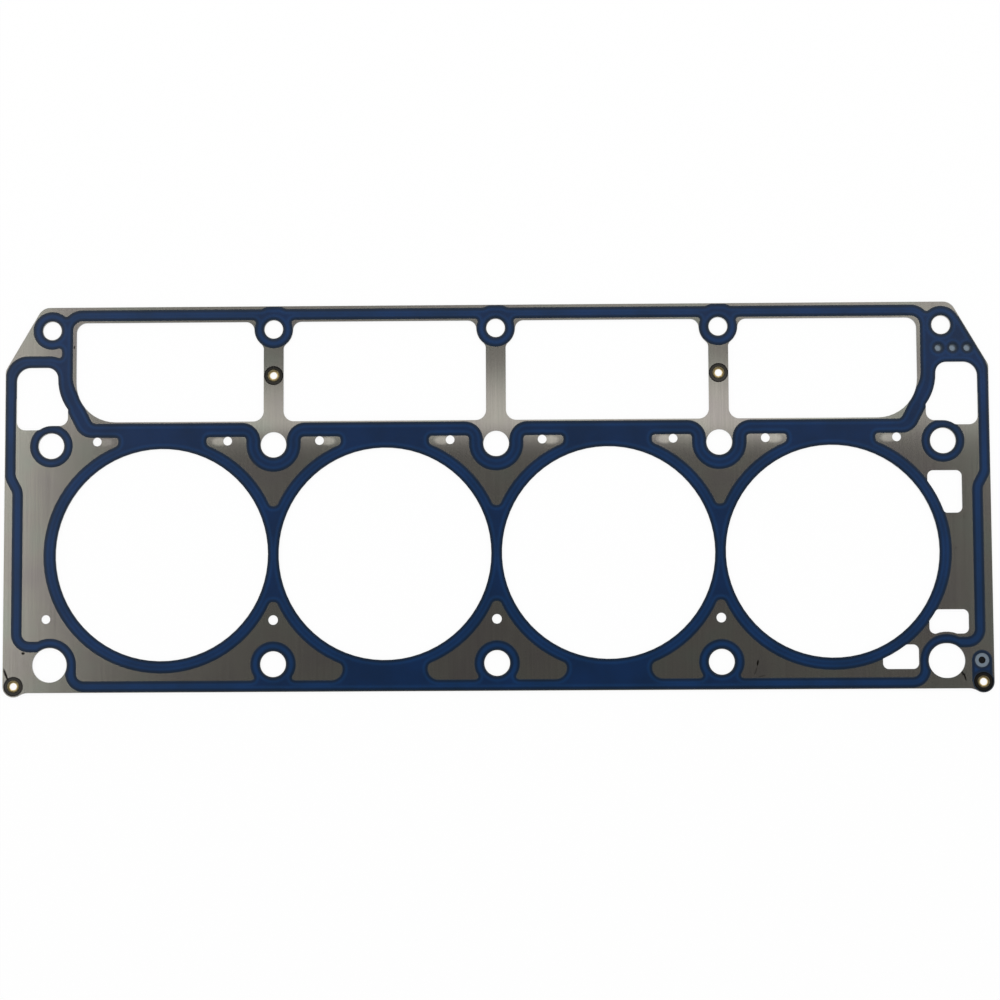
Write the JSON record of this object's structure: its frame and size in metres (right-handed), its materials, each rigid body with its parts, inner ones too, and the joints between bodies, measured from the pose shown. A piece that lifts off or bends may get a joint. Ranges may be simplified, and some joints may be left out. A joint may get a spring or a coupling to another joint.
{
  "type": "cylinder head gasket",
  "caption": "Flat multi-layer steel engine gasket with a row of large cylinder bores, pushrod windows, bolt and fluid holes, raised elastomer sealing print and hollow rivets.",
  "frame": {"origin": "on the cylinders' centre line, midway along the row, on the plane that the engine block's face meets", "axes": "+X along the row of cylinders, towards the end with the coolant windows; +Y towards the engine's valley; +Z away from the block, out of the face that meets the head"},
  "size_m": [0.4938, 0.1961, 0.0013],
  "materials": {
    "stainless_sheet": "cold rolled",
    "blue_elastomer": "screen printed, satin",
    "rivet_brass": "rolled"
  },
  "bodies": {
    "root": {"steel_layers": "stainless_sheet", "sealing_print": "blue_elastomer", "rivets": "rivet_brass"}
  },
  "joints": []
}
